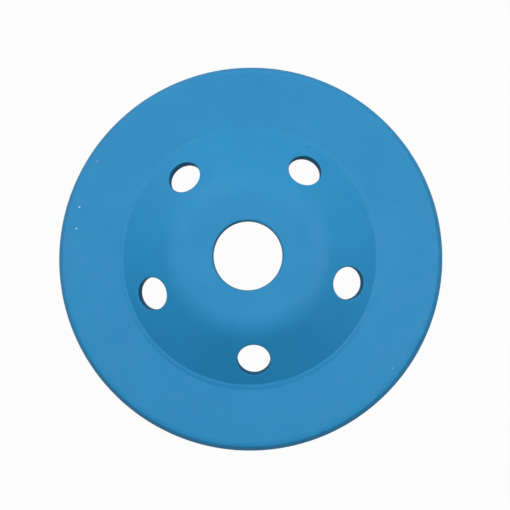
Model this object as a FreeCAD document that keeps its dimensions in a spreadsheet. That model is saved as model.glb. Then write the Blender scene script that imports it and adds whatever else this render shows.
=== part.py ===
import FreeCAD, Part
import math
import os
import Sketcher

# Diamond cup wheel for an angle grinder.
# The wheel's axis is Z. The cutting faces of the segments lie in the plane Z = 0,
# and the hub stands up from the rim, with its back face on top.

doc = FreeCAD.newDocument("CupWheel")

# two places or sizes closer than this count as the same
closeness = 1e-6

# Driving dimensions, in millimetres and degrees
dimensions = {
    # steel cup, pressed from one sheet
    "OutsideDiameter": 125.0,
    "BoreDiameter": 22.23,
    "SheetThickness": 2.5,
    "HubFlatDiameter": 39.0,
    "ShoulderRadius": 17.0,
    "FlankAngle": 29.0,
    "CreaseDiameter": 82.4,
    "BandWidth": 1.6,
    "BandRise": 0.25,
    "FrontBendRadius": 6.0,
    # back edge of the rim: a shallow lead, a steep chamfer and a short wall
    "EdgeLeadWidth": 1.5,
    "EdgeLeadDrop": 0.35,
    "EdgeChamferWidth": 1.4,
    "EdgeWallHeight": 0.5,
    "BoreChamfer": 0.25,
    # vent holes, square to the flank
    "VentHoleCount": 5,
    "VentHoleDiameter": 11.0,
    "VentHoleInset": 8.26,
    "VentHoleClocking": 57.1,
    "VentHoleChamfer": 0.35,
    # diamond segments on the front of the rim
    "SegmentCount": 18,
    "SegmentHeight": 5.0,
    "SegmentWidth": 8.0,
    "SegmentOuterMargin": 0.3,
    "SegmentInnerMargin": 1.5,
    "SegmentLean": 25.0,
    "SegmentSweepRadius": 45.0,
    "SegmentCornerChamfer": 1.0,
}

sheet = doc.addObject("Spreadsheet::Sheet", "Sizes")
for row, (name, value) in enumerate(dimensions.items(), start=1):
    sheet.set("A%d" % row, name)
    sheet.set("B%d" % row, str(value))
    sheet.setAlias("B%d" % row, name)
doc.recompute()


def size(name):
    """Value of one driving dimension in the sheet."""
    return float(sheet.get(name))


def vector(x, y, z=0.0):
    return FreeCAD.Vector(x, y, z)


def originFeature(body, role):
    """A plane or an axis of the body's own origin."""
    return next(item for item in body.Origin.OriginFeatures if item.Role == role)


def newSketch(body, name, role):
    """A sketch on one of the body's own origin planes."""
    sketch = body.newObject("Sketcher::SketchObject", name)
    sketch.AttachmentSupport = [(originFeature(body, role), "")]
    sketch.MapMode = "FlatFace"
    return sketch


def addLine(sketch, start, end, construction=False):
    return sketch.addGeometry(Part.LineSegment(start, end), construction)


def addArc(sketch, centre, radius, startAngle, endAngle):
    """A counter-clockwise arc, with its angles in radians."""
    circle = Part.Circle(centre, vector(0, 0, 1), radius)
    return sketch.addGeometry(Part.ArcOfCircle(circle, startAngle, endAngle), False)


def join(sketch, kind, first, firstPoint, second, secondPoint):
    """Ties two ends together, as a plain corner or as a tangent joint."""
    sketch.addConstraint(Sketcher.Constraint(kind, first, firstPoint, second, secondPoint))


def drive(sketch, name, formula, *constraint):
    """Adds a dimension to a sketch and binds it to the sheet."""
    index = sketch.addConstraint(Sketcher.Constraint(*constraint))
    sketch.renameConstraint(index, name)
    sketch.setExpression("Constraints." + name, formula)


def flankFoot():
    """Radius at which the front of the flank, carried on straight, meets the front of the rim."""
    wall = size("SheetThickness")
    flank = math.radians(size("FlankAngle"))
    rise = size("BandRise") + wall - wall / math.cos(flank)
    return size("CreaseDiameter") / 2 + rise / math.tan(flank)


def edgesWhere(shape, test):
    """Names of the edges of a shape that pass a test."""
    return ["Edge%d" % number for number, edge in enumerate(shape.Edges, start=1) if test(edge)]


def isCircleOf(edge, radius):
    """True for a full circle about the wheel's axis, of a given radius."""
    if not isinstance(edge.Curve, Part.Circle) or not edge.Closed:
        return False
    centre = edge.Curve.Center
    onAxis = math.hypot(centre.x, centre.y) < closeness
    return onAxis and abs(edge.Curve.Radius - radius) < closeness


def makeCupProfile(body):
    """Half section of the dished steel cup, closed, at a constant wall."""
    wall = size("SheetThickness")
    rimFront = size("SegmentHeight")
    rimBack = rimFront + wall
    boreRadius = size("BoreDiameter") / 2
    rimRadius = size("OutsideDiameter") / 2
    hubRadius = size("HubFlatDiameter") / 2
    shoulder = size("ShoulderRadius")
    flank = math.radians(size("FlankAngle"))
    lean = vector(math.sin(flank), math.cos(flank))

    # back face, from the bore outwards
    crease = vector(size("CreaseDiameter") / 2, rimBack + size("BandRise"))
    bandEnd = vector(crease.x + size("BandWidth"), rimBack)
    shoulderEndRadius = hubRadius + shoulder * lean.x
    shoulderEndHeight = crease.y + (crease.x - shoulderEndRadius) * math.tan(flank)
    shoulderEnd = vector(shoulderEndRadius, shoulderEndHeight)
    shoulderCentre = shoulderEnd - lean * shoulder
    hubBack = shoulderCentre.y + shoulder
    chamferStart = vector(rimRadius - size("EdgeChamferWidth"), rimBack - size("EdgeLeadDrop"))
    leadStart = vector(chamferStart.x - size("EdgeLeadWidth"), rimBack)
    wallTop = vector(rimRadius, rimFront + size("EdgeWallHeight"))
    wallFoot = vector(rimRadius, rimFront)

    # front face, which follows the back face at the wall's thickness
    bend = size("FrontBendRadius")
    innerShoulderEnd = shoulderCentre + lean * (shoulder - wall)
    bendCentre = vector(flankFoot() + bend * math.tan(flank / 2), rimFront + bend)
    bendStart = bendCentre - lean * bend
    hubFront = hubBack - wall

    sketch = newSketch(body, "CupProfile", "XZ_Plane")
    quarter = math.pi / 2
    hubBackFace = addLine(sketch, vector(boreRadius, hubBack), vector(hubRadius, hubBack))
    backShoulder = addArc(sketch, shoulderCentre, shoulder, quarter - flank, quarter)
    backFlank = addLine(sketch, shoulderEnd, crease)
    band = addLine(sketch, crease, bandEnd)
    rimBackFace = addLine(sketch, bandEnd, leadStart)
    edgeLead = addLine(sketch, leadStart, chamferStart)
    edgeChamfer = addLine(sketch, chamferStart, wallTop)
    edgeWall = addLine(sketch, wallTop, wallFoot)
    rimFrontFace = addLine(sketch, wallFoot, vector(bendCentre.x, rimFront))
    frontBend = addArc(sketch, bendCentre, bend, 3 * quarter - flank, 3 * quarter)
    frontFlank = addLine(sketch, bendStart, innerShoulderEnd)
    frontShoulder = addArc(sketch, shoulderCentre, shoulder - wall, quarter - flank, quarter)
    hubFrontFace = addLine(sketch, vector(hubRadius, hubFront), vector(boreRadius, hubFront))
    boreWall = addLine(sketch, vector(boreRadius, hubFront), vector(boreRadius, hubBack))

    for face in (hubBackFace, rimBackFace, rimFrontFace, hubFrontFace):
        sketch.addConstraint(Sketcher.Constraint("Horizontal", face))
    for face in (edgeWall, boreWall):
        sketch.addConstraint(Sketcher.Constraint("Vertical", face))

    join(sketch, "Tangent", hubBackFace, 2, backShoulder, 2)
    join(sketch, "Tangent", backShoulder, 1, backFlank, 1)
    join(sketch, "Coincident", backFlank, 2, band, 1)
    join(sketch, "Coincident", band, 2, rimBackFace, 1)
    join(sketch, "Coincident", rimBackFace, 2, edgeLead, 1)
    join(sketch, "Coincident", edgeLead, 2, edgeChamfer, 1)
    join(sketch, "Coincident", edgeChamfer, 2, edgeWall, 1)
    join(sketch, "Coincident", edgeWall, 2, rimFrontFace, 1)
    join(sketch, "Tangent", rimFrontFace, 2, frontBend, 2)
    join(sketch, "Tangent", frontBend, 1, frontFlank, 1)
    join(sketch, "Tangent", frontFlank, 2, frontShoulder, 1)
    join(sketch, "Tangent", frontShoulder, 2, hubFrontFace, 1)
    join(sketch, "Coincident", hubFrontFace, 2, boreWall, 1)
    join(sketch, "Coincident", boreWall, 2, hubBackFace, 1)
    join(sketch, "Coincident", backShoulder, 3, frontShoulder, 3)
    sketch.addConstraint(Sketcher.Constraint("Parallel", backFlank, frontFlank))

    origin = (-1, 1)
    drive(sketch, "boreRadius", "Sizes.BoreDiameter / 2",
          "DistanceX", *origin, boreWall, 1, boreRadius)
    drive(sketch, "hubRadius", "Sizes.HubFlatDiameter / 2",
          "DistanceX", *origin, hubBackFace, 2, hubRadius)
    drive(sketch, "shoulderRadius", "Sizes.ShoulderRadius", "Radius", backShoulder, shoulder)
    drive(sketch, "flankAngle", "Sizes.FlankAngle * 1 deg", "Angle", backShoulder, flank)
    drive(sketch, "rimRadius", "Sizes.OutsideDiameter / 2",
          "DistanceX", *origin, edgeWall, 2, rimRadius)
    drive(sketch, "creaseRadius", "Sizes.CreaseDiameter / 2",
          "DistanceX", *origin, band, 1, crease.x)
    drive(sketch, "bandWidth", "Sizes.BandWidth",
          "DistanceX", band, 1, band, 2, size("BandWidth"))
    drive(sketch, "bandRise", "Sizes.BandRise",
          "DistanceY", band, 2, band, 1, size("BandRise"))
    drive(sketch, "rimFrontHeight", "Sizes.SegmentHeight",
          "DistanceY", *origin, rimFrontFace, 1, rimFront)
    drive(sketch, "rimThickness", "Sizes.SheetThickness",
          "DistanceY", rimFrontFace, 2, rimBackFace, 1, wall)
    drive(sketch, "hubThickness", "Sizes.SheetThickness",
          "DistanceY", boreWall, 1, boreWall, 2, wall)
    drive(sketch, "frontBendRadius", "Sizes.FrontBendRadius", "Radius", frontBend, bend)
    drive(sketch, "leadWidth", "Sizes.EdgeLeadWidth",
          "DistanceX", edgeLead, 1, edgeLead, 2, size("EdgeLeadWidth"))
    drive(sketch, "leadDrop", "Sizes.EdgeLeadDrop",
          "DistanceY", edgeLead, 2, edgeLead, 1, size("EdgeLeadDrop"))
    drive(sketch, "chamferWidth", "Sizes.EdgeChamferWidth",
          "DistanceX", edgeChamfer, 1, edgeChamfer, 2, size("EdgeChamferWidth"))
    drive(sketch, "wallHeight", "Sizes.EdgeWallHeight",
          "DistanceY", edgeWall, 2, edgeWall, 1, size("EdgeWallHeight"))
    return sketch


def makeCupBody():
    """The steel cup: a revolved dish with vent holes square to its flank."""
    body = doc.addObject("PartDesign::Body", "CupBody")
    body.Label = "cup_body"
    profile = makeCupProfile(body)

    dish = body.newObject("PartDesign::Revolution", "Dish")
    dish.Profile = profile
    dish.ReferenceAxis = (profile, ["V_Axis"])
    dish.Angle = 360
    doc.recompute()

    # one vent hole, drawn on a plane that lies on the flank
    holeSketch = newSketch(body, "VentHoleOutline", "XY_Plane")
    holeSketch.AttachmentOffset = FreeCAD.Placement(
        vector(0, 0, 0), FreeCAD.Rotation(vector(0, 1, 0), size("FlankAngle")))
    holeSketch.setExpression("AttachmentOffset.Rotation.Angle", "Sizes.FlankAngle * 1 deg")
    holeSketch.setExpression("AttachmentOffset.Base.x", "Sizes.CreaseDiameter / 2 - Sizes.VentHoleInset")
    holeSketch.setExpression(
        "AttachmentOffset.Base.z",
        "Sizes.SegmentHeight + Sizes.SheetThickness + Sizes.BandRise"
        " + Sizes.VentHoleInset * tan(Sizes.FlankAngle * 1 deg)")
    holeRadius = size("VentHoleDiameter") / 2
    outline = holeSketch.addGeometry(Part.Circle(vector(0, 0), vector(0, 0, 1), holeRadius), False)
    join(holeSketch, "Coincident", outline, 3, -1, 1)
    drive(holeSketch, "holeRadius", "Sizes.VentHoleDiameter / 2", "Radius", outline, holeRadius)
    doc.recompute()

    hole = body.newObject("PartDesign::Pocket", "VentHole")
    hole.Profile = holeSketch
    hole.Type = "ThroughAll"
    doc.recompute()

    holes = body.newObject("PartDesign::PolarPattern", "VentHoles")
    holes.Originals = [hole]
    holes.Axis = (originFeature(body, "Z_Axis"), [""])
    holes.Angle = 360
    holes.setExpression("Occurrences", "Sizes.VentHoleCount")
    body.Tip = holes
    doc.recompute()

    # the punched holes have their edges broken on both faces of the sheet
    def isHoleWall(face):
        surface = face.Surface
        return isinstance(surface, Part.Cylinder) and abs(surface.Axis.z) < 1 - closeness

    rims = [edge for face in holes.Shape.Faces if isHoleWall(face) for edge in face.Edges]
    lips = [edge for edge in rims if not isinstance(edge.Curve, Part.Line)]
    holeEdges = body.newObject("PartDesign::Chamfer", "VentHoleEdges")
    holeEdges.Base = (holes, edgesWhere(holes.Shape, lambda edge: any(edge.isSame(lip) for lip in lips)))
    holeEdges.setExpression("Size", "Sizes.VentHoleChamfer")
    doc.recompute()

    boreRadius = size("BoreDiameter") / 2
    boreEdges = body.newObject("PartDesign::Chamfer", "BoreEdges")
    boreEdges.Base = (holeEdges, edgesWhere(holeEdges.Shape, lambda edge: isCircleOf(edge, boreRadius)))
    boreEdges.setExpression("Size", "Sizes.BoreChamfer")
    body.Tip = boreEdges

    body.Placement = FreeCAD.Placement(
        vector(0, 0, 0), FreeCAD.Rotation(vector(0, 0, 1), size("VentHoleClocking")))
    body.setExpression("Placement.Rotation.Angle", "Sizes.VentHoleClocking * 1 deg")
    doc.recompute()

    # every hole has really been cut: each takes about its own area times the wall
    punched = size("VentHoleCount") * math.pi * holeRadius ** 2 * size("SheetThickness")
    removed = dish.Shape.Volume - holes.Shape.Volume
    allowedShare = 0.1
    if abs(removed - punched) > allowedShare * punched:
        raise RuntimeError("vent holes took %.1f mm3, not about %.1f" % (removed, punched))
    return body


def circleMeeting(ringRadius, centre, sweepRadius):
    """Where a ring about the origin meets the arc about a centre, on the side nearer to +X."""
    distance = centre.Length
    along = (ringRadius ** 2 - sweepRadius ** 2 + distance ** 2) / (2 * distance)
    across = math.sqrt(ringRadius ** 2 - along ** 2)
    forward = centre * (1 / distance)
    sideways = vector(forward.y, -forward.x)
    return forward * along + sideways * across


def makeSegmentOutline(body):
    """Plan of one segment: two ring arcs and two parallel swept arcs."""
    # the segments start a margin outside the place where the front bend runs out into the flat
    bendWidth = size("FrontBendRadius") * math.tan(math.radians(size("FlankAngle")) / 2)
    innerRadius = flankFoot() + bendWidth + size("SegmentInnerMargin")
    outerRadius = size("OutsideDiameter") / 2 - size("SegmentOuterMargin")
    middleRadius = (innerRadius + outerRadius) / 2
    sweep = size("SegmentSweepRadius")
    halfWidth = size("SegmentWidth") / 2
    turn = math.radians(90 + size("SegmentLean"))
    middle = vector(middleRadius, 0)
    centre = middle + vector(math.cos(turn), math.sin(turn)) * sweep

    innerNear = circleMeeting(innerRadius, centre, sweep - halfWidth)
    outerNear = circleMeeting(outerRadius, centre, sweep - halfWidth)
    innerFar = circleMeeting(innerRadius, centre, sweep + halfWidth)
    outerFar = circleMeeting(outerRadius, centre, sweep + halfWidth)

    def angleAbout(point, middlePoint):
        return math.atan2(point.y - middlePoint.y, point.x - middlePoint.x)

    sketch = newSketch(body, "SegmentOutline", "XY_Plane")
    zero = vector(0, 0)
    outerEnd = addArc(sketch, zero, outerRadius, angleAbout(outerFar, zero), angleAbout(outerNear, zero))
    innerEnd = addArc(sketch, zero, innerRadius, angleAbout(innerFar, zero), angleAbout(innerNear, zero))
    nearSide = addArc(sketch, centre, sweep - halfWidth,
                      angleAbout(innerNear, centre), angleAbout(outerNear, centre))
    farSide = addArc(sketch, centre, sweep + halfWidth,
                     angleAbout(innerFar, centre), angleAbout(outerFar, centre))
    arm = addLine(sketch, middle, centre, True)

    origin = (-1, 1)
    horizontalAxis = -1
    join(sketch, "Coincident", outerEnd, 3, *origin)
    join(sketch, "Coincident", innerEnd, 3, *origin)
    join(sketch, "Coincident", nearSide, 3, farSide, 3)
    join(sketch, "Coincident", arm, 2, farSide, 3)
    sketch.addConstraint(Sketcher.Constraint("PointOnObject", arm, 1, horizontalAxis))
    join(sketch, "Coincident", farSide, 1, innerEnd, 1)
    join(sketch, "Coincident", farSide, 2, outerEnd, 1)
    join(sketch, "Coincident", nearSide, 1, innerEnd, 2)
    join(sketch, "Coincident", nearSide, 2, outerEnd, 2)

    outerFormula = "Sizes.OutsideDiameter / 2 - Sizes.SegmentOuterMargin"
    innerFormula = ("Sizes.CreaseDiameter / 2 + Sizes.SegmentInnerMargin"
                    " + (Sizes.BandRise + Sizes.SheetThickness"
                    " - Sizes.SheetThickness / cos(Sizes.FlankAngle * 1 deg)) / tan(Sizes.FlankAngle * 1 deg)"
                    " + Sizes.FrontBendRadius * tan(Sizes.FlankAngle / 2 * 1 deg)")
    drive(sketch, "outerRadius", outerFormula, "Radius", outerEnd, outerRadius)
    drive(sketch, "innerRadius", innerFormula, "Radius", innerEnd, innerRadius)
    drive(sketch, "middleRadius", "(%s + %s) / 2" % (outerFormula, innerFormula),
          "DistanceX", *origin, arm, 1, middleRadius)
    drive(sketch, "sweepRadius", "Sizes.SegmentSweepRadius", "Distance", arm, sweep)
    drive(sketch, "lean", "(90 + Sizes.SegmentLean) * 1 deg", "Angle", arm, turn)
    drive(sketch, "nearRadius", "Sizes.SegmentSweepRadius - Sizes.SegmentWidth / 2",
          "Radius", nearSide, sweep - halfWidth)
    drive(sketch, "farRadius", "Sizes.SegmentSweepRadius + Sizes.SegmentWidth / 2",
          "Radius", farSide, sweep + halfWidth)
    return sketch


def makeSegment(number):
    """One sintered diamond segment, face to face with the front of the rim."""
    body = doc.addObject("PartDesign::Body", "Segment%02d" % number)
    body.Label = "diamond_segment_%02d" % number
    outline = makeSegmentOutline(body)

    block = body.newObject("PartDesign::Pad", "Block")
    block.Profile = outline
    block.setExpression("Length", "Sizes.SegmentHeight")
    doc.recompute()

    # the upright corners are taken off
    corners = body.newObject("PartDesign::Chamfer", "Corners")
    corners.Base = (block, edgesWhere(block.Shape, lambda edge: isinstance(edge.Curve, Part.Line)))
    corners.setExpression("Size", "Sizes.SegmentCornerChamfer")
    body.Tip = corners

    turn = 360 * (number - 1) / size("SegmentCount")
    body.Placement = FreeCAD.Placement(vector(0, 0, 0), FreeCAD.Rotation(vector(0, 0, 1), turn))
    body.setExpression("Placement.Rotation.Angle", "%d * 360 deg / Sizes.SegmentCount" % (number - 1))
    doc.recompute()
    return body


pieces = [makeCupBody()]
for segmentNumber in range(1, int(size("SegmentCount")) + 1):
    pieces.append(makeSegment(segmentNumber))

for item in doc.Objects:
    if "Invalid" in item.State or "Error" in item.State:
        raise RuntimeError("%s failed: %s" % (item.Label, item.State))
for piece in pieces:
    if piece.Shape.isNull() or not piece.Shape.isValid() or len(piece.Shape.Solids) != 1:
        raise RuntimeError("%s is not one valid solid" % piece.Label)

os.makedirs("parts", exist_ok=True)
for piece in pieces:
    piece.Shape.exportStep("parts/%s.step" % piece.Label)
    print(piece.Label, round(piece.Shape.Volume, 2), piece.Shape.BoundBox)
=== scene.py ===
import math
import random

import bmesh
import bpy
from mathutils import Euler, Matrix, Vector, noise


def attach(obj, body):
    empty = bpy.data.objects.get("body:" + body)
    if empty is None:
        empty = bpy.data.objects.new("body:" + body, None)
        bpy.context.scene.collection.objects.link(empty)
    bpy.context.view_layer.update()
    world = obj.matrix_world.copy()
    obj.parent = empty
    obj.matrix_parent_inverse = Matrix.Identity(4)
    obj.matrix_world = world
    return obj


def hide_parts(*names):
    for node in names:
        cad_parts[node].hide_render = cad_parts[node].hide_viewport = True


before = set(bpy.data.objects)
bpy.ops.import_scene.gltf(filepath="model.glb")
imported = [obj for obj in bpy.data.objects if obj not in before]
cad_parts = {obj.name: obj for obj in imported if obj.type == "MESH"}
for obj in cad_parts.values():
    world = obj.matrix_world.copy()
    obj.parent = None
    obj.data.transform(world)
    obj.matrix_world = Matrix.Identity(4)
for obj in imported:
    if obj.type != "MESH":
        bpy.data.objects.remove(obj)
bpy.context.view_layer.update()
scene = bpy.context.scene
print("frame loaded with", len(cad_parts), "nodes")

# Lengths in the pieces' dictionaries are millimetres; a mesh is scaled to metres when it is finished.
millimetre = 0.001              # in metres
touching = 0.01                 # what lies nearer than this to a place counts as being on it


def finishPiece(mesh, name, node, materials):
    bmesh.ops.scale(mesh, vec=(millimetre, millimetre, millimetre), verts=mesh.verts)
    data = bpy.data.meshes.new(name)
    mesh.to_mesh(data)
    mesh.free()
    for material in materials:
        data.materials.append(material)
    piece = bpy.data.objects.new(name, data)
    scene.collection.objects.link(piece)
    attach(piece, "root")
    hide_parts(node)


def radiusOf(point):
    return math.hypot(point.x, point.y)


def joinTo(mesh, part):
    scratch = bpy.data.meshes.new("scratch")
    part.to_mesh(scratch)
    part.free()
    mesh.from_mesh(scratch)
    bpy.data.meshes.remove(scratch)


def feed(tree, socket, value):
    if isinstance(value, bpy.types.NodeSocket):
        tree.links.new(value, socket)
    else:
        socket.default_value = value


def calculate(tree, operation, *values):
    node = tree.nodes.new("ShaderNodeMath")
    node.operation = operation
    for socket, value in zip(node.inputs, values):
        feed(tree, socket, value)
    return node.outputs[0]


def remap(tree, value, fromLow, fromHigh, toLow, toHigh, smooth=False):
    node = tree.nodes.new("ShaderNodeMapRange")
    node.interpolation_type = "SMOOTHSTEP" if smooth else "LINEAR"
    for name, item in (("Value", value), ("From Min", fromLow), ("From Max", fromHigh),
                       ("To Min", toLow), ("To Max", toHigh)):
        feed(tree, node.inputs[name], item)
    return node.outputs[0]


def mixColours(tree, share, first, second):
    node = tree.nodes.new("ShaderNodeMix")
    node.data_type = "RGBA"
    feed(tree, node.inputs[0], share)
    for socket, colour in ((node.inputs[6], first), (node.inputs[7], second)):
        feed(tree, socket, (*colour, 1) if isinstance(colour, tuple) else colour)
    return node.outputs[2]


def newGroup(name, inputs, outputs):
    group = bpy.data.node_groups.new(name, "ShaderNodeTree")
    for direction, sockets in (("INPUT", inputs), ("OUTPUT", outputs)):
        for socketName, kind in sockets:
            group.interface.new_socket(name=socketName, in_out=direction, socket_type="NodeSocket" + kind)
    return group, group.nodes.new("NodeGroupInput").outputs, group.nodes.new("NodeGroupOutput").inputs


def useGroup(tree, group, **values):
    node = tree.nodes.new("ShaderNodeGroup")
    node.node_tree = group
    for name, value in values.items():
        feed(tree, node.inputs[name], value)
    return node.outputs


def makeWheelPlace():           # millimetres on the wheel, with the distance from its axis
    outputs = [("Place", "Vector"), ("Radius", "Float"), ("Height", "Float")]
    group, noInputs, result = newGroup("wheelPlace", [], outputs)
    coordinates = group.nodes.new("ShaderNodeTexCoord")
    scaled = group.nodes.new("ShaderNodeVectorMath")
    scaled.operation = "SCALE"
    scaled.inputs["Scale"].default_value = 1 / millimetre
    flat = group.nodes.new("ShaderNodeVectorMath")
    flat.operation = "MULTIPLY"
    flat.inputs[1].default_value = (1, 1, 0)
    length = group.nodes.new("ShaderNodeVectorMath")
    length.operation = "LENGTH"
    parts = group.nodes.new("ShaderNodeSeparateXYZ")
    group.links.new(coordinates.outputs["Object"], scaled.inputs[0])
    group.links.new(scaled.outputs[0], flat.inputs[0])
    group.links.new(flat.outputs[0], length.inputs[0])
    group.links.new(scaled.outputs[0], parts.inputs[0])
    group.links.new(scaled.outputs[0], result["Place"])
    group.links.new(length.outputs["Value"], result["Radius"])
    group.links.new(parts.outputs["Z"], result["Height"])
    return group


noiseRange = (0.3, 0.7)         # the values that a noise texture mostly keeps to


def makeUnevenness():           # soft patches of the given size in mm, between two values
    inputs = [("Place", "Vector"), ("Size", "Float"), ("Detail", "Float"),
              ("Lowest", "Float"), ("Highest", "Float")]
    group, given, result = newGroup("unevenness", inputs, [("Value", "Float")])
    texture = group.nodes.new("ShaderNodeTexNoise")
    group.links.new(given["Place"], texture.inputs["Vector"])
    group.links.new(given["Detail"], texture.inputs["Detail"])
    feed(group, texture.inputs["Scale"], calculate(group, "DIVIDE", 1.0, given["Size"]))
    value = remap(group, texture.outputs[0], *noiseRange, given["Lowest"], given["Highest"])
    group.links.new(value, result["Value"])
    return group


def makeTurningMarks():         # fine rings round the axis, as a height in mm
    inputs = [("Radius", "Float"), ("Pitch", "Float"), ("Depth", "Float")]
    group, given, result = newGroup("turningMarks", inputs, [("Height", "Float")])
    rings = group.nodes.new("ShaderNodeTexNoise")
    rings.noise_dimensions = "1D"
    rings.inputs["Scale"].default_value = 1.0
    rings.inputs["Detail"].default_value = 2.0
    feed(group, rings.inputs["W"], calculate(group, "DIVIDE", given["Radius"], given["Pitch"]))
    centred = calculate(group, "MULTIPLY_ADD", rings.outputs[0], 2.0, -1.0)   # from -1 to 1
    group.links.new(calculate(group, "MULTIPLY", centred, given["Depth"]), result["Height"])
    return group


spotCore = 0.4                  # share of a spot's radius that has its full colour


def makeSpot():                 # one small round spot
    inputs = [("Place", "Vector"), ("Centre", "Vector"), ("Size", "Float")]
    group, given, result = newGroup("spot", inputs, [("Mask", "Float")])
    distance = group.nodes.new("ShaderNodeVectorMath")
    distance.operation = "DISTANCE"
    group.links.new(given["Place"], distance.inputs[0])
    group.links.new(given["Centre"], distance.inputs[1])
    core = calculate(group, "MULTIPLY", given["Size"], spotCore)
    mask = remap(group, distance.outputs["Value"], core, given["Size"], 1.0, 0.0, smooth=True)
    group.links.new(mask, result["Mask"])
    return group


sprayEdge = {                   # where the coat on a segment's foot thins out
    "detail": 3.0,
    "raggedness": 0.8,         # how far the noise moves the edge, as a share of the whole fade
    "bare": 0.35,
    "covered": 0.75,
}


def makeOverspray():            # paint that reached the foot of a segment, thinning out below it
    inputs = [("Place", "Vector"), ("Height", "Float"), ("Start", "Float"),
              ("Full", "Float"), ("Size", "Float")]
    group, given, result = newGroup("overspray", inputs, [("Mask", "Float")])
    texture = group.nodes.new("ShaderNodeTexNoise")
    texture.inputs["Detail"].default_value = sprayEdge["detail"]
    group.links.new(given["Place"], texture.inputs["Vector"])
    feed(group, texture.inputs["Scale"], calculate(group, "DIVIDE", 1.0, given["Size"]))
    rise = remap(group, given["Height"], given["Start"], given["Full"], 0.0, 1.0)
    shift = calculate(group, "MULTIPLY_ADD", texture.outputs[0], sprayEdge["raggedness"],
                      -sprayEdge["raggedness"] / 2)
    ragged = calculate(group, "ADD", rise, shift)
    mask = remap(group, ragged, sprayEdge["bare"], sprayEdge["covered"], 0.0, 1.0, smooth=True)
    group.links.new(mask, result["Mask"])
    return group


wheelPlace = makeWheelPlace()
unevenness = makeUnevenness()
turningMarks = makeTurningMarks()
spot = makeSpot()
overspray = makeOverspray()


def newMaterial(name):
    material = bpy.data.materials.new(name)
    material.use_nodes = True
    tree = material.node_tree
    place = useGroup(tree, wheelPlace)
    return material, tree, tree.nodes["Principled BSDF"], place


def addRelief(tree, shader, height):    # height in mm
    bump = tree.nodes.new("ShaderNodeBump")
    bump.inputs["Strength"].default_value = 1.0
    bump.inputs["Distance"].default_value = millimetre
    tree.links.new(height, bump.inputs["Height"])
    tree.links.new(bump.outputs[0], shader.inputs["Normal"])


def unevenValue(tree, place, size, detail, lowest=0.0, highest=1.0):
    return useGroup(tree, unevenness, Place=place["Place"], Size=size, Detail=detail,
                    Lowest=lowest, Highest=highest)["Value"]


def sprayMask(tree, place, finish):     # the blue coat's share on a segment's finish
    return useGroup(tree, overspray, Place=place["Place"], Height=place["Height"],
                    Start=finish["oversprayStart"], Full=finish["oversprayFull"],
                    Size=finish["overspraySize"])["Mask"]


cup = {
    "outside": 125.0,
    "bore": 22.23,
    "wall": 2.5,
    "segmentHeight": 5.0,
    "hubFlat": 39.0,           # diameter where the shoulder starts
    "shoulder": 17.0,
    "flankAngle": 29.0,
    "crease": 82.4,
    "bandRise": 0.25,
    "bandLevel": 0.45,         # width of the level step outside the crease
    "bandArc": (0.8, 12, 3),   # radius, slope and steps of its fall to the rim
    "frontBend": 6.0,
    "boreRounding": 0.85,      # the lip that the punch drew down, on the back
    "boreFrontRounding": 0.3,
    "edgeStart": 59.5,         # radius where the rim starts to roll over
    "edgeArcs": [(7.5, 12, 5), (0.9, 60, 7)],   # radius, slope reached, steps
    "edgeCorner": 0.35,
    "frontCorner": 0.25,
    "darkOutlineReach": 0.26,         # how far the darker wall colour reaches into the rounded lips, a painted dark outline of shade round each hole
    "creaseRounding": 0.2,
    "creaseSteps": 3,
    "holding": 0.4,            # short pieces that keep the rim flat up to its bends
    "boreHolding": 0.3,        # and the same beside the bore's lips
    "seam": 0.005,             # vertices nearer than this are joined
    "turns": 360,              # steps round the axis
}

ventHole = {
    "count": 5,
    "diameter": 10.6,
    "inset": 7.77,             # from the crease, along the radius
    "clocking": 57.1,          # degrees from +X to the first hole
    "lip": 0.45,
    "lipSteps": 5,
    "lipReach": 0.02,          # how near the hole's wall the edges of its lips lie
    "rows": 40,                # rows of faces between the hub flat and the flank's end
    "blockHalf": 13,           # the opening left for a hole, in faces each way
    "blockSlack": 0.1,         # of a face, when the opening's edges are picked
    "rings": 2,                # cuts between that opening and the hole
    "tries": 12,               # steps towards the place where the hole leaves a skin
}

flankTurn = math.radians(cup["flankAngle"])
rimBack = cup["segmentHeight"] + cup["wall"]
creaseRadius = cup["crease"] / 2
creaseHeight = rimBack + cup["bandRise"]
hubRadius = cup["hubFlat"] / 2
shoulderEnd = hubRadius + cup["shoulder"] * math.sin(flankTurn)
shoulderEndHeight = creaseHeight + (creaseRadius - shoulderEnd) * math.tan(flankTurn)
shoulderCentreHeight = shoulderEndHeight - cup["shoulder"] * math.cos(flankTurn)
hubBack = shoulderCentreHeight + cup["shoulder"]
hubFront = hubBack - cup["wall"]
frontFoot = creaseRadius + (cup["bandRise"] + cup["wall"]
                            - cup["wall"] / math.cos(flankTurn)) / math.tan(flankTurn)
bendCentreRadius = frontFoot + cup["frontBend"] * math.tan(flankTurn / 2)
bendStartRadius = bendCentreRadius - cup["frontBend"] * math.sin(flankTurn)

# the two skins of the flank: shoulder radius, and the radius where the flank ends
backSkin = {"shoulder": cup["shoulder"], "end": creaseRadius}
frontSkin = {"shoulder": cup["shoulder"] - cup["wall"], "end": bendStartRadius}


def skinHeight(skin, radius):
    if radius < hubRadius:
        return shoulderCentreHeight + skin["shoulder"]
    tangent = hubRadius + skin["shoulder"] * math.sin(flankTurn)
    if radius < tangent:
        return shoulderCentreHeight + math.sqrt(skin["shoulder"] ** 2 - (radius - hubRadius) ** 2)
    tangentHeight = shoulderCentreHeight + skin["shoulder"] * math.cos(flankTurn)
    return tangentHeight - (radius - tangent) * math.tan(flankTurn)


def skinLength(skin):
    tangent = hubRadius + skin["shoulder"] * math.sin(flankTurn)
    return skin["shoulder"] * flankTurn + (skin["end"] - tangent) / math.cos(flankTurn)


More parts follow.
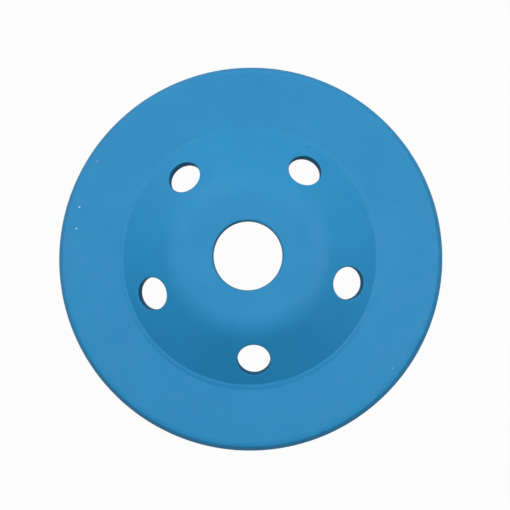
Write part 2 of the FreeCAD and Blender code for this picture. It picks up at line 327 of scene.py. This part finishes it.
def radiusAlong(skin, along):   # radius at a distance along the skin, from the hub flat
    arc = skin["shoulder"] * flankTurn
    if along < arc:
        return hubRadius + skin["shoulder"] * math.sin(along / skin["shoulder"])
    tangent = hubRadius + skin["shoulder"] * math.sin(flankTurn)
    return tangent + (along - arc) * math.cos(flankTurn)


def alongAt(skin, radius):      # and the other way, on the straight flank
    tangent = hubRadius + skin["shoulder"] * math.sin(flankTurn)
    return skin["shoulder"] * flankTurn + (radius - tangent) / math.cos(flankTurn)


holeRadius = ventHole["diameter"] / 2
holeCentre = Vector((creaseRadius - ventHole["inset"], 0,
                     creaseHeight + ventHole["inset"] * math.tan(flankTurn)))
holeAxis = Vector((math.sin(flankTurn), 0, math.cos(flankTurn)))
holeSide = Vector((0, 1, 0))
holeDown = Vector((math.cos(flankTurn), 0, -math.sin(flankTurn)))


def holePoint(skin, turn):      # where the hole's cylinder leaves a skin
    start = holeCentre + holeDown * (holeRadius * math.cos(turn)) + holeSide * (holeRadius * math.sin(turn))
    point = start.copy()
    for attempt in range(ventHole["tries"]):
        point += holeAxis * ((skinHeight(skin, radiusOf(point)) - point.z) * math.cos(flankTurn))
    return point


def distanceFromAxis(point):
    offset = point - holeCentre
    return (offset - holeAxis * offset.dot(holeAxis)).length


def makeSkinSector(skin):       # one skin of a fifth of the flank, with its hole
    sector = bmesh.new()
    columns = cup["turns"] // ventHole["count"]
    rows = ventHole["rows"]
    bmesh.ops.create_grid(sector, x_segments=columns, y_segments=rows, size=1.0)
    cell = skinLength(skin) / rows      # the plan's faces are squares of this side
    columnTurn = 360 / cup["turns"]     # and each is this many degrees wide on the wheel
    for vertex in sector.verts:
        vertex.co.x *= columns / 2 * cell
        vertex.co.y = (vertex.co.y + 1) / 2 * rows * cell

    centreAlong = alongAt(skin, radiusOf(holePoint(skin, 0.0)) / 2 + radiusOf(holePoint(skin, math.pi)) / 2)
    blockMiddle = round(centreAlong / cell) * cell
    half = ventHole["blockHalf"]

    def inBlock(face):
        middle = face.calc_center_median()
        return abs(middle.x) < half * cell and abs(middle.y - blockMiddle) < half * cell

    block = [face for face in sector.faces if inBlock(face)]
    bmesh.ops.delete(sector, geom=block, context="FACES")
    reach = (half + ventHole["blockSlack"]) * cell
    edgeOfBlock = [edge for edge in sector.edges if edge.is_boundary
                   and all(abs(v.co.x) <= reach and abs(v.co.y - blockMiddle) <= reach for v in edge.verts)]

    ring = bmesh.ops.create_circle(sector, segments=8 * half, radius=1.0)["verts"]
    for vertex in ring:
        point = holePoint(skin, math.atan2(vertex.co.x, vertex.co.y))
        vertex.co.x = math.degrees(math.atan2(point.y, point.x)) / columnTurn * cell
        vertex.co.y = alongAt(skin, radiusOf(point))
        vertex.co.z = holeRadius    # off the plan, so that the bridge can't turn round
    ringEdges = list({edge for vertex in ring for edge in vertex.link_edges})
    spokes = bmesh.ops.bridge_loops(sector, edges=edgeOfBlock + ringEdges)["edges"]
    bmesh.ops.subdivide_edges(sector, edges=spokes, cuts=ventHole["rings"])

    for vertex in sector.verts:
        radius = radiusAlong(skin, vertex.co.y)
        turn = math.radians(vertex.co.x / cell * columnTurn)
        vertex.co = Vector((radius * math.cos(turn), radius * math.sin(turn), skinHeight(skin, radius)))
    return sector


def markWall(mesh, distance, radius):   # the wall of a hole, darker with thin paint and painted shade, and its lips as far as the cup's reach for that colour, a painted dark outline
    for face in mesh.faces:
        if all(abs(distance(vertex.co) - radius) < cup["darkOutlineReach"] for vertex in face.verts):
            face.material_index = 1


def makeSector():               # both skins, joined through the hole, with rounded lips
    sector = bmesh.new()
    for skin in (backSkin, frontSkin):
        joinTo(sector, makeSkinSector(skin))
    lips = [edge for edge in sector.edges if edge.is_boundary
            and all(abs(distanceFromAxis(v.co) - holeRadius) < ventHole["lipReach"] for v in edge.verts)]
    bmesh.ops.bridge_loops(sector, edges=lips)
    bmesh.ops.recalc_face_normals(sector, faces=sector.faces)
    bmesh.ops.bevel(sector, geom=lips, offset=ventHole["lip"], offset_type="OFFSET",
                    segments=ventHole["lipSteps"], profile=0.5, affect="EDGES", clamp_overlap=True,
                    material=-1)
    markWall(sector, distanceFromAxis, holeRadius)
    return sector


def lineTo(mesh, start, radius, height, pieces=1):
    step = (Vector((radius, 0, height)) - start.co) / pieces
    end = start
    for piece in range(pieces):
        end = bmesh.ops.extrude_vert_indiv(mesh, verts=[end])["verts"][0]
        bmesh.ops.translate(mesh, verts=[end], vec=step)
    return end


def arcTo(mesh, start, centreRadius, centreHeight, degrees, steps):   # positive turns the slope downwards
    made = bmesh.ops.spin(mesh, geom=[start], cent=(centreRadius, 0, centreHeight), axis=(0, 1, 0),
                          dvec=(0, 0, 0), angle=math.radians(degrees), steps=steps,
                          use_merge=False, use_duplicate=False)
    return made["geom_last"][0]


# pieces of the straight stretches and steps of the bends in the cup's section
sectionSteps = {
    "bandFall": 2,
    "rim": 18,
    "edge": 3,
    "corner": 3,
    "front": 20,
    "frontBend": 10,
    "hubBack": 10,
    "boreLip": 6,
    "boreWall": 4,
    "boreFrontLip": 4,
    "hubFront": 8,
}


def makeRimProfile(mesh):       # from the crease out over the edge and back along the front
    end = mesh.verts.new((creaseRadius, 0, creaseHeight))
    end = lineTo(mesh, end, creaseRadius + cup["bandLevel"], creaseHeight)
    radius, fall, steps = cup["bandArc"]
    lean = math.radians(fall)
    end = arcTo(mesh, end, end.co.x, end.co.z - radius, fall, steps)
    drop = end.co.z - rimBack - radius * (1 - math.cos(lean))
    end = lineTo(mesh, end, end.co.x + drop / math.tan(lean), end.co.z - drop, sectionSteps["bandFall"])
    end = arcTo(mesh, end, end.co.x + radius * math.sin(lean), rimBack + radius, -fall, steps)
    end = lineTo(mesh, end, end.co.x + cup["holding"], rimBack)
    end = lineTo(mesh, end, cup["edgeStart"] - cup["holding"], rimBack, sectionSteps["rim"])
    end = lineTo(mesh, end, cup["edgeStart"], rimBack)
    slope = 0.0
    for radius, reached, steps in cup["edgeArcs"]:
        lean = math.radians(slope)
        end = arcTo(mesh, end, end.co.x - radius * math.sin(lean), end.co.z - radius * math.cos(lean),
                    reached - slope, steps)
        slope = reached
    lean = math.radians(slope)
    corner = cup["edgeCorner"]
    outside = cup["outside"] / 2
    steepEnd = outside - corner * (1 - math.sin(lean))
    end = lineTo(mesh, end, steepEnd, end.co.z - (steepEnd - end.co.x) * math.tan(lean), sectionSteps["edge"])
    end = arcTo(mesh, end, end.co.x - corner * math.sin(lean), end.co.z - corner * math.cos(lean),
                90 - slope, sectionSteps["corner"])
    foot = cup["frontCorner"]
    rimFront = cup["segmentHeight"]
    end = lineTo(mesh, end, outside, rimFront + foot)
    end = arcTo(mesh, end, outside - foot, rimFront + foot, 90, sectionSteps["corner"])
    end = lineTo(mesh, end, bendCentreRadius, rimFront, sectionSteps["front"])
    arcTo(mesh, end, bendCentreRadius, rimFront + cup["frontBend"], cup["flankAngle"],
          sectionSteps["frontBend"])


def makeHubProfile(mesh):       # from the shoulder in to the bore, through it and out again
    boreRadius = cup["bore"] / 2
    rounding = cup["boreRounding"]
    end = mesh.verts.new((hubRadius, 0, hubBack))
    end = lineTo(mesh, end, boreRadius + rounding + cup["boreHolding"], hubBack, sectionSteps["hubBack"])
    end = lineTo(mesh, end, boreRadius + rounding, hubBack)
    end = arcTo(mesh, end, boreRadius + rounding, hubBack - rounding, -90, sectionSteps["boreLip"])
    rounding = cup["boreFrontRounding"]
    end = lineTo(mesh, end, boreRadius, hubFront + rounding, sectionSteps["boreWall"])
    end = arcTo(mesh, end, boreRadius + rounding, hubFront + rounding, -90, sectionSteps["boreFrontLip"])
    end = lineTo(mesh, end, boreRadius + rounding + cup["boreHolding"], hubFront)
    lineTo(mesh, end, hubRadius, hubFront, sectionSteps["hubFront"])


paintRun = {
    "turn": 67.3,              # degrees from +X
    "width": 1.3,
    "length": 1.6,
    "height": 0.24,
    "fade": 0.2,               # depth below the hub's back at which it has risen fully
}


def addPaintRun(mesh):          # a small run of paint that stands out into the bore
    for vertex in mesh.verts:
        radius = radiusOf(vertex.co)
        if radius > cup["bore"] / 2 + cup["boreRounding"] + touching:
            continue
        turn = math.degrees(math.atan2(vertex.co.y, vertex.co.x)) - paintRun["turn"]
        across = math.radians(turn) * radius / (paintRun["width"] / 2)
        down = (hubBack - vertex.co.z) / paintRun["length"]
        if abs(across) < 1 and down < 1:
            swell = (1 - across ** 2) ** 2 * (1 - down ** 2)
            inward = Vector((-vertex.co.x, -vertex.co.y, 0)) / radius
            risen = min(1.0, down * paintRun["length"] / paintRun["fade"])
            vertex.co += inward * paintRun["height"] * swell * risen


def makeCup():
    mesh = bmesh.new()
    for makeProfile in (makeRimProfile, makeHubProfile):
        part = bmesh.new()
        makeProfile(part)
        bmesh.ops.rotate(part, verts=part.verts, cent=(0, 0, 0),
                         matrix=Matrix.Rotation(math.pi / ventHole["count"], 3, "Z"))
        bmesh.ops.spin(part, geom=part.verts[:] + part.edges[:], cent=(0, 0, 0), axis=(0, 0, 1),
                       dvec=(0, 0, 0), angle=2 * math.pi, steps=cup["turns"],
                       use_merge=True, use_duplicate=False)
        joinTo(mesh, part)

    sector = makeSector()
    copies = ventHole["count"] - 1
    bmesh.ops.spin(sector, geom=sector.verts[:] + sector.edges[:] + sector.faces[:], cent=(0, 0, 0),
                   axis=(0, 0, 1), dvec=(0, 0, 0), angle=2 * math.pi * copies / ventHole["count"],
                   steps=copies, use_merge=False, use_duplicate=True)
    joinTo(mesh, sector)

    bmesh.ops.remove_doubles(mesh, verts=mesh.verts, dist=cup["seam"])
    bmesh.ops.recalc_face_normals(mesh, faces=mesh.faces)
    creaseEdges = [edge for edge in mesh.edges
                   if all(abs(radiusOf(v.co) - creaseRadius) < touching and v.co.z > rimBack
                          for v in edge.verts)]
    bmesh.ops.bevel(mesh, geom=creaseEdges, offset=cup["creaseRounding"], offset_type="OFFSET",
                    segments=cup["creaseSteps"], profile=0.5, affect="EDGES", material=-1)
    # the bore's wall and lips take the same darker colour: thin paint, painted shade and a painted dark
    # outline
    markWall(mesh, radiusOf, cup["bore"] / 2)
    bmesh.ops.rotate(mesh, verts=mesh.verts, cent=(0, 0, 0),
                     matrix=Matrix.Rotation(math.radians(ventHole["clocking"]), 3, "Z"))
    addPaintRun(mesh)
    for face in mesh.faces:
        face.smooth = True
    openEdges = sum(edge.is_boundary or not edge.is_manifold for edge in mesh.edges)
    print("cup:", len(mesh.faces), "faces,", openEdges, "open edges")
    return mesh


paint = {
    "colour": (0.007, 0.233, 0.487),
    "deepColour": (0.005, 0.219, 0.467),
    "specular": 0.4,
    "toneSize": 14.0,
    "roughness": (0.53, 0.63),
    "glossSize": 5.0,
    "peelSize": 0.9,           # the sprayed coat's orange peel
    "peelDepth": 0.0035,
    "turningPitch": 0.5,
    "turningDepth": 0.0012,    # everywhere on the wheel
    "hubTurningDepth": 0.011,  # round the bore, where the face was turned
    "hubTurningEnd": (17.0, 22.0),
    # spots: each one's place on the wheel and its radius
    "dustColour": (0.55, 0.68, 0.76),
    "dustRoughness": 0.4,      # added to the paint's
    "dustHeight": 0.03,
    "dust": [((-49.94, 31.65), 0.22), ((-55.72, 16.57), 0.40),
             ((-56.65, 9.53), 0.36), ((46.37, -35.71), 0.22)],
    "pitColour": (0.003, 0.13, 0.29),
    "pitDepth": 0.03,
    "pits": [((-14.04, -10.46), 0.30), ((25.26, -11.91), 0.36), ((-28.45, -44.32), 0.34),
             ((23.16, -53.84), 0.38), ((53.78, -5.94), 0.32)],
    "smudgeColour": (0.004, 0.19, 0.41),
    "smudges": [((18.72, 36.02), 0.95), ((47.95, 17.77), 0.75)],
}


def backHeight(radius):         # of the cup's back, for spots placed on it
    if radius < creaseRadius:
        return skinHeight(backSkin, radius)
    return rimBack


def addSpots(tree, place, spots):
    total = 0.0
    for (x, y), size in spots:
        centre = (x, y, backHeight(math.hypot(x, y)))
        mask = useGroup(tree, spot, Place=place["Place"], Centre=centre, Size=size)["Mask"]
        total = calculate(tree, "ADD", total, mask)
    return total


def makePaint():
    material, tree, shader, place = newMaterial("bluePaint")
    tone = unevenValue(tree, place, paint["toneSize"], detail=2.0)
    colour = mixColours(tree, tone, paint["deepColour"], paint["colour"])
    dust = addSpots(tree, place, paint["dust"])
    pits = addSpots(tree, place, paint["pits"])
    colour = mixColours(tree, dust, colour, paint["dustColour"])
    colour = mixColours(tree, pits, colour, paint["pitColour"])
    colour = mixColours(tree, addSpots(tree, place, paint["smudges"]), colour, paint["smudgeColour"])
    feed(tree, shader.inputs["Base Color"], colour)
    shader.inputs["Specular IOR Level"].default_value = paint["specular"]
    lowest, highest = paint["roughness"]
    gloss = unevenValue(tree, place, paint["glossSize"], detail=3.0, lowest=lowest, highest=highest)
    dusty = calculate(tree, "MULTIPLY", dust, paint["dustRoughness"])
    feed(tree, shader.inputs["Roughness"], calculate(tree, "ADD", gloss, dusty))

    depth = remap(tree, place["Radius"], *paint["hubTurningEnd"],
                  paint["hubTurningDepth"], paint["turningDepth"], smooth=True)
    rings = useGroup(tree, turningMarks, Radius=place["Radius"], Pitch=paint["turningPitch"],
                     Depth=depth)["Height"]
    peel = unevenValue(tree, place, paint["peelSize"], detail=1.0, highest=paint["peelDepth"])
    height = calculate(tree, "ADD", rings, peel)
    height = calculate(tree, "MULTIPLY_ADD", dust, paint["dustHeight"], height)
    addRelief(tree, shader, calculate(tree, "MULTIPLY_ADD", pits, -paint["pitDepth"], height))
    return material


wallFinishAndShade = {                     # walls of the holes and the bore: a darker blue for thin paint over steel that tore as it was punched, and for painted shade inside the holes
    "colour": (0.003, 0.105, 0.23),
    "thin": (0.004, 0.07, 0.15),
    "specular": 0.2,
    "patchSize": 0.7,
    "roughness": (0.5, 0.7),
    "tearSize": 0.25,
    "tearDepth": 0.012,
}


def makeShadedThinPaintWall():
    material, tree, shader, place = newMaterial("thinPaintAndShadeWall")
    patches = unevenValue(tree, place, wallFinishAndShade["patchSize"], detail=3.0)
    # darker than the paint: thin paint, and painted shade on walls that the lamps light
    colour = mixColours(tree, patches, wallFinishAndShade["colour"], wallFinishAndShade["thin"])
    feed(tree, shader.inputs["Base Color"], colour)
    feed(tree, shader.inputs["Roughness"], remap(tree, patches, 0.0, 1.0, *wallFinishAndShade["roughness"]))
    shader.inputs["Specular IOR Level"].default_value = wallFinishAndShade["specular"]
    tears = unevenValue(tree, place, wallFinishAndShade["tearSize"], detail=2.0, highest=wallFinishAndShade["tearDepth"])
    addRelief(tree, shader, tears)
    return material


bluePaint, thinPaintAndShadeWall = makePaint(), makeShadedThinPaintWall()
finishPiece(makeCup(), "painted_cup", "cup_body", [bluePaint, thinPaintAndShadeWall])


segment = {
    "count": 18,
    "width": 8.0,
    "innerMargin": 1.5,        # from the end of the cup's front bend
    "outerMargin": 0.3,
    "lean": 25.0,
    "sweep": 45.0,             # radius of the sweep's middle line
    "corner": 1.3,
    "cornerSteps": 5,
    "faceEdge": 0.35,
    "faceEdgeSteps": 3,
    "cell": 0.8,               # longest face
    "recess": 0.12,            # from the cutting plane to the bond between the crystals
    "unevenness": 0.05,
    "wavesPerMm": 0.7,
    "waveShift": 10,           # in waves, from one segment to the next
    "waveFade": 0.5,           # height over which they die out towards the braze
    "crystals": 90,
    "crystalRadius": (0.16, 0.30),
    "crystalSpacing": 0.8,
    "crystalInset": 0.3,       # from the rounded edge of the face
    "crystalDepth": 0.08,      # how far a tip may stay behind the cutting plane
    "brazeHeight": 0.4,
    "brazeRows": (0, 0.35, 0.65, 0.85),   # where its fillet is cut, as shares of its height
    "brazeEndReach": 0.1,      # how far it may stand out at the rim's edge
    "seed": 40,
}

segmentInner = bendCentreRadius + segment["innerMargin"]
segmentOuter = cup["outside"] / 2 - segment["outerMargin"]
segmentMiddle = (segmentInner + segmentOuter) / 2
leanTurn = math.radians(90 + segment["lean"])
sweepCentre = Vector((segmentMiddle + segment["sweep"] * math.cos(leanTurn),
                      segment["sweep"] * math.sin(leanTurn), 0))


def onSweep(ringRadius, offset):    # where a ring round the axis crosses one of the sweep's arcs
    sweepRadius = segment["sweep"] + offset
    distance = sweepCentre.length
    along = (ringRadius ** 2 - sweepRadius ** 2 + distance ** 2) / (2 * distance)
    across = math.sqrt(ringRadius ** 2 - along ** 2)
    forward = sweepCentre / distance
    return forward * along + Vector((forward.y, -forward.x, 0)) * across


cutReach = 0.0001               # what a cutting plane takes as lying on it


def cutAt(mesh, axis, distance):
    bmesh.ops.bisect_plane(mesh, geom=mesh.verts[:] + mesh.edges[:] + mesh.faces[:], dist=cutReach,
                           plane_co=axis * distance, plane_no=axis)


def cutEvery(mesh, axis, lowest, highest, step):
    cuts = math.ceil((highest - lowest) / step)
    for cut in range(1, cuts):
        cutAt(mesh, axis, lowest + (highest - lowest) * cut / cuts)


def makeSegmentBlock():         # x is the radius on the wheel, y the offset across the sweep
    mesh = bmesh.new()
    bmesh.ops.create_cube(mesh, size=1.0)
    lowest = segment["recess"]
    highest = cup["segmentHeight"]
    size = (segmentOuter - segmentInner, segment["width"], highest - lowest)
    bmesh.ops.scale(mesh, vec=size, verts=mesh.verts)
    bmesh.ops.translate(mesh, vec=(segmentMiddle, 0, (lowest + highest) / 2), verts=mesh.verts)
    upright = [edge for edge in mesh.edges if abs(edge.verts[0].co.z - edge.verts[1].co.z) > touching]
    bmesh.ops.bevel(mesh, geom=upright, offset=segment["corner"], offset_type="OFFSET",
                    segments=segment["cornerSteps"], profile=0.5, affect="EDGES", material=-1)
    faceEdges = [edge for edge in mesh.edges if all(v.co.z < lowest + touching for v in edge.verts)]
    bmesh.ops.bevel(mesh, geom=faceEdges, offset=segment["faceEdge"], offset_type="OFFSET",
                    segments=segment["faceEdgeSteps"], profile=0.5, affect="EDGES", material=-1)
    cutEvery(mesh, Vector((1, 0, 0)), segmentInner, segmentOuter, segment["cell"])
    cutEvery(mesh, Vector((0, 1, 0)), -segment["width"] / 2, segment["width"] / 2, segment["cell"])
    brazeStart = highest - segment["brazeHeight"]
    cutEvery(mesh, Vector((0, 0, 1)), lowest + segment["faceEdge"], brazeStart, segment["cell"])
    for share in segment["brazeRows"]:
        cutAt(mesh, Vector((0, 0, 1)), brazeStart + segment["brazeHeight"] * share)
    return mesh


def flareFoot(mesh):            # the braze spreads in a hollow fillet where the block meets the rim
    height = segment["brazeHeight"]
    halfLength = (segmentOuter - segmentInner) / 2
    for vertex in mesh.verts:
        rise = (vertex.co.z - (cup["segmentHeight"] - height)) / height
        if rise <= 0:
            continue
        flare = height * (1 - math.sqrt(max(0.0, 1 - rise ** 2)))
        along = vertex.co.x - segmentMiddle
        reach = min(flare, segment["brazeEndReach"]) if along > 0 else flare
        vertex.co.x = segmentMiddle + along * (1 + reach / halfLength)
        vertex.co.y *= 1 + flare / (segment["width"] / 2)
    for face in mesh.faces:
        if face.calc_center_median().z > cup["segmentHeight"] - height:
            face.material_index = 1


def makeSegment(number):
    draw = random.Random(segment["seed"] + number)
    mesh = segmentBlock.copy()
    mesh.normal_update()
    brazeStart = cup["segmentHeight"] - segment["brazeHeight"]
    for vertex in mesh.verts:   # sintered faces are never quite flat
        place = vertex.co * segment["wavesPerMm"] + Vector((0, 0, segment["waveShift"] * number))
        clear = min(1.0, max(0.0, (brazeStart - vertex.co.z) / segment["waveFade"]))
        vertex.co -= vertex.normal * (0.5 + 0.5 * noise.noise(place)) * segment["unevenness"] * clear
    flareFoot(mesh)
    for vertex in mesh.verts:
        height = vertex.co.z
        vertex.co = onSweep(vertex.co.x, vertex.co.y)
        vertex.co.z = height
    for face in mesh.faces:
        face.smooth = True

    places = []
    inset = segment["faceEdge"] + segment["crystalInset"]
    while len(places) < segment["crystals"]:
        place = (draw.uniform(segmentInner + inset, segmentOuter - inset),
                 draw.uniform(inset - segment["width"] / 2, segment["width"] / 2 - inset))
        if all(math.dist(place, other) > segment["crystalSpacing"] for other in places):
            places.append(place)
    for ringRadius, offset in places:
        radius = draw.uniform(*segment["crystalRadius"])
        centre = onSweep(ringRadius, offset)
        centre.z = radius + draw.uniform(0.0, segment["crystalDepth"])
        turn = Euler([draw.uniform(0, math.tau) for axis in range(3)])
        placed = Matrix.Translation(centre) @ turn.to_matrix().to_4x4()
        crystal = bmesh.ops.create_icosphere(mesh, subdivisions=1, radius=radius, matrix=placed)["verts"]
        for face in {face for vertex in crystal for face in vertex.link_faces}:
            face.material_index = 2
    bmesh.ops.rotate(mesh, verts=mesh.verts, cent=(0, 0, 0),
                     matrix=Matrix.Rotation(math.tau * (number - 1) / segment["count"], 3, "Z"))
    return mesh


bond = {
    "dark": (0.10, 0.095, 0.085),
    "light": (0.30, 0.285, 0.25),
    "grainSize": 0.45,
    "grainDepth": 0.03,
    "metal": 0.75,
    "roughness": (0.48, 0.7),
    "buriedGrit": (0.30, 0.31, 0.15),
    "gritSpacing": 0.75,
    "gritSize": 0.17,
    "gritFade": 1.4,           # where a buried crystal's tone ends, in its sizes
    "gritHeight": 0.03,
    "dressingPitch": 0.12,     # rings left on the cutting faces by the dressing stone
    "dressingDepth": 0.006,
    "dressingEnd": (0.2, 0.35),   # heights between which they end
    "oversprayStart": 3.0,
    "oversprayFull": 4.9,
    "overspraySize": 0.5,
}

braze = {
    "colour": (0.60, 0.53, 0.38),
    "dull": (0.34, 0.29, 0.20),
    "tarnishSize": 0.8,
    "roughness": (0.28, 0.5),
    "rippleSize": 0.3,
    "rippleDepth": 0.012,
    "oversprayStart": 4.3,
    "oversprayFull": 4.75,
    "overspraySize": 0.7,
}

grit = {
    "yellow": (0.46, 0.45, 0.16),
    "green": (0.24, 0.30, 0.12),
    "size": 1.1,               # of the patches of one tone, about one crystal
    "roughness": (0.12, 0.3),
    "refraction": 2.0,
    "facetSize": 0.08,
    "facetDepth": 0.008,
}


def makeBond():
    material, tree, shader, place = newMaterial("sinteredBond")
    grain = unevenValue(tree, place, bond["grainSize"], detail=5.0)
    colour = mixColours(tree, grain, bond["dark"], bond["light"])
    cells = tree.nodes.new("ShaderNodeTexVoronoi")
    cells.inputs["Scale"].default_value = 1 / bond["gritSpacing"]
    tree.links.new(place["Place"], cells.inputs["Vector"])
    buried = remap(tree, cells.outputs["Distance"], bond["gritSize"], bond["gritSize"] * bond["gritFade"],
                   1.0, 0.0, smooth=True)
    colour = mixColours(tree, buried, colour, bond["buriedGrit"])
    spray = sprayMask(tree, place, bond)
    feed(tree, shader.inputs["Base Color"], mixColours(tree, spray, colour, paint["colour"]))
    bare = calculate(tree, "SUBTRACT", 1.0, calculate(tree, "MAXIMUM", spray, buried))
    feed(tree, shader.inputs["Metallic"], calculate(tree, "MULTIPLY", bare, bond["metal"]))
    feed(tree, shader.inputs["Roughness"], remap(tree, grain, 0.0, 1.0, *reversed(bond["roughness"])))
    rings = useGroup(tree, turningMarks, Radius=place["Radius"], Pitch=bond["dressingPitch"],
                     Depth=bond["dressingDepth"])["Height"]
    onFace = remap(tree, place["Height"], *bond["dressingEnd"], 1.0, 0.0)
    height = calculate(tree, "MULTIPLY", rings, onFace)
    height = calculate(tree, "MULTIPLY_ADD", grain, bond["grainDepth"], height)
    addRelief(tree, shader, calculate(tree, "MULTIPLY_ADD", buried, bond["gritHeight"], height))
    return material


def makeBraze():
    material, tree, shader, place = newMaterial("braze")
    tarnish = unevenValue(tree, place, braze["tarnishSize"], detail=3.0)
    colour = mixColours(tree, tarnish, braze["colour"], braze["dull"])
    spray = sprayMask(tree, place, braze)
    feed(tree, shader.inputs["Base Color"], mixColours(tree, spray, colour, paint["colour"]))
    feed(tree, shader.inputs["Metallic"], calculate(tree, "SUBTRACT", 1.0, spray))
    feed(tree, shader.inputs["Roughness"], remap(tree, tarnish, 0.0, 1.0, *braze["roughness"]))
    addRelief(tree, shader, unevenValue(tree, place, braze["rippleSize"], detail=2.0,
                                        highest=braze["rippleDepth"]))
    return material


def makeGrit():
    material, tree, shader, place = newMaterial("diamondGrit")
    tone = unevenValue(tree, place, grit["size"], detail=0.0)
    feed(tree, shader.inputs["Base Color"], mixColours(tree, tone, grit["green"], grit["yellow"]))
    feed(tree, shader.inputs["Roughness"], remap(tree, tone, 0.0, 1.0, *grit["roughness"]))
    shader.inputs["IOR"].default_value = grit["refraction"]
    addRelief(tree, shader, unevenValue(tree, place, grit["facetSize"], detail=1.0,
                                        highest=grit["facetDepth"]))
    return material


sinteredBond, brazeJoint, diamondGrit = makeBond(), makeBraze(), makeGrit()

segmentBlock = makeSegmentBlock()
for number in range(1, segment["count"] + 1):
    finishPiece(makeSegment(number), "diamond_block_%02d" % number, "diamond_segment_%02d" % number,
                [sinteredBond, brazeJoint, diamondGrit])
segmentBlock.free()
print("segments:", segment["count"], "blocks with", segment["crystals"], "crystals each")


camera = {
    "distance": 900.0,
    "focal": 2771.0,           # in pixels of the picture
    "picture": 510.0,          # its width in pixels
    "sensor": 36.0,
    "centre": (-1.768, -0.897),   # of the wheel, to the right of and above the camera's axis
    "tilt": (-0.060, 0.071),   # lean of the wheel's axis in radians, to the right and up
    "aim": 7.5,                # height of the plane that the distance is measured to
    "clip": (0.05, 20.0),      # metres
}


def cameraAxes():
    leanX, leanY = (math.sin(value) for value in camera["tilt"])
    back = Vector((leanX, leanY, math.sqrt(1 - leanX ** 2 - leanY ** 2)))   # the wheel's Z in camera axes
    right = Vector((0, 1, 0)).cross(back).normalized()
    up = back.cross(right)
    return right, up, back


def addCamera():
    right, up, back = cameraAxes()
    turned = Matrix((right, up, back))      # its columns are the camera's axes on the wheel
    aside, above, behind = (turned.col[index].copy() for index in range(3))
    offset = aside * camera["centre"][0] + above * camera["centre"][1] - behind * camera["distance"]
    data = bpy.data.cameras.new("photoCamera")
    data.sensor_width = camera["sensor"]
    data.lens = camera["focal"] * camera["sensor"] / camera["picture"]
    data.clip_start, data.clip_end = camera["clip"]
    viewer = bpy.data.objects.new("photoCamera", data)
    placed = turned.to_4x4()
    placed.translation = (Vector((0, 0, camera["aim"])) - offset) * millimetre
    viewer.matrix_world = placed
    scene.collection.objects.link(viewer)
    scene.camera = viewer


addCamera()

studio = {
    "floorSize": 3.0,
    "floorColour": (0.35, 0.35, 0.35, 1),
    "floorRoughness": 0.7,
    "floorSpecular": 0.2,
    "whiteShare": 0.97,        # how far floor and background are shown as plain white
    "fill": 0.2,               # even light from all round
    "horizon": (0.10, 0.40),   # heights between which the white backdrop ends
}

# place in metres, width of the square lamp, watts
lamps = {
    "leftLamp": ((-0.70, 0.70, 0.80), 0.50, 4.1),
    "rightLamp": ((0.70, 0.70, 0.80), 0.50, 2.5),
    "topLamp": ((0.0, 0.95, 0.85), 0.50, 3.5),
    "hubLampLeft": ((-0.16, 0.0, 0.34), 0.12, 0.29),
    "hubLampRight": ((0.16, 0.0, 0.34), 0.12, 0.45),
}


def shownShare(tree):           # how white the camera, gloss and glass see a backdrop
    path = tree.nodes.new("ShaderNodeLightPath")
    seen = calculate(tree, "MAXIMUM", path.outputs["Is Camera Ray"], path.outputs["Is Glossy Ray"])
    seen = calculate(tree, "MAXIMUM", seen, path.outputs["Is Transmission Ray"])
    return calculate(tree, "MULTIPLY", seen, studio["whiteShare"])


def addFloor():
    mesh = bmesh.new()
    bmesh.ops.create_grid(mesh, x_segments=2, y_segments=2, size=studio["floorSize"] / 2)
    data = bpy.data.meshes.new("floor")
    mesh.to_mesh(data)
    mesh.free()
    floor = bpy.data.objects.new("floor", data)
    scene.collection.objects.link(floor)
    material = bpy.data.materials.new("floorWhite")
    material.use_nodes = True
    tree = material.node_tree
    matt = tree.nodes["Principled BSDF"]
    matt.inputs["Base Color"].default_value = studio["floorColour"]
    matt.inputs["Roughness"].default_value = studio["floorRoughness"]
    matt.inputs["Specular IOR Level"].default_value = studio["floorSpecular"]
    white = tree.nodes.new("ShaderNodeEmission")
    mix = tree.nodes.new("ShaderNodeMixShader")
    tree.links.new(shownShare(tree), mix.inputs[0])
    tree.links.new(matt.outputs[0], mix.inputs[1])
    tree.links.new(white.outputs[0], mix.inputs[2])
    tree.links.new(mix.outputs[0], tree.nodes["Material Output"].inputs["Surface"])
    data.materials.append(material)


def addLamp(name, place, size, watts):
    data = bpy.data.lights.new(name, "AREA")
    data.size = size
    data.energy = watts
    lamp = bpy.data.objects.new(name, data)
    lamp.location = place
    lamp.rotation_euler = (-Vector(place)).to_track_quat("-Z", "Y").to_euler()
    scene.collection.objects.link(lamp)


def addWorld():
    world = bpy.data.worlds.new("studioWorld")
    scene.world = world
    world.use_nodes = True
    tree = world.node_tree
    background = tree.nodes["Background"]
    background.inputs["Color"].default_value = (1, 1, 1, 1)
    direction = tree.nodes.new("ShaderNodeTexCoord")
    parts = tree.nodes.new("ShaderNodeSeparateXYZ")
    tree.links.new(direction.outputs["Generated"], parts.inputs[0])
    backdrop = remap(tree, parts.outputs["Z"], *studio["horizon"], 1.0, 0.0, smooth=True)
    white = calculate(tree, "MULTIPLY", shownShare(tree), backdrop)
    feed(tree, background.inputs["Strength"], calculate(tree, "MAXIMUM", white, studio["fill"]))


addFloor()
for name, (place, size, watts) in lamps.items():
    addLamp(name, place, size, watts)
addWorld()
print("stage:", len(lamps), "lamps")

scene.view_settings.view_transform = "Standard"
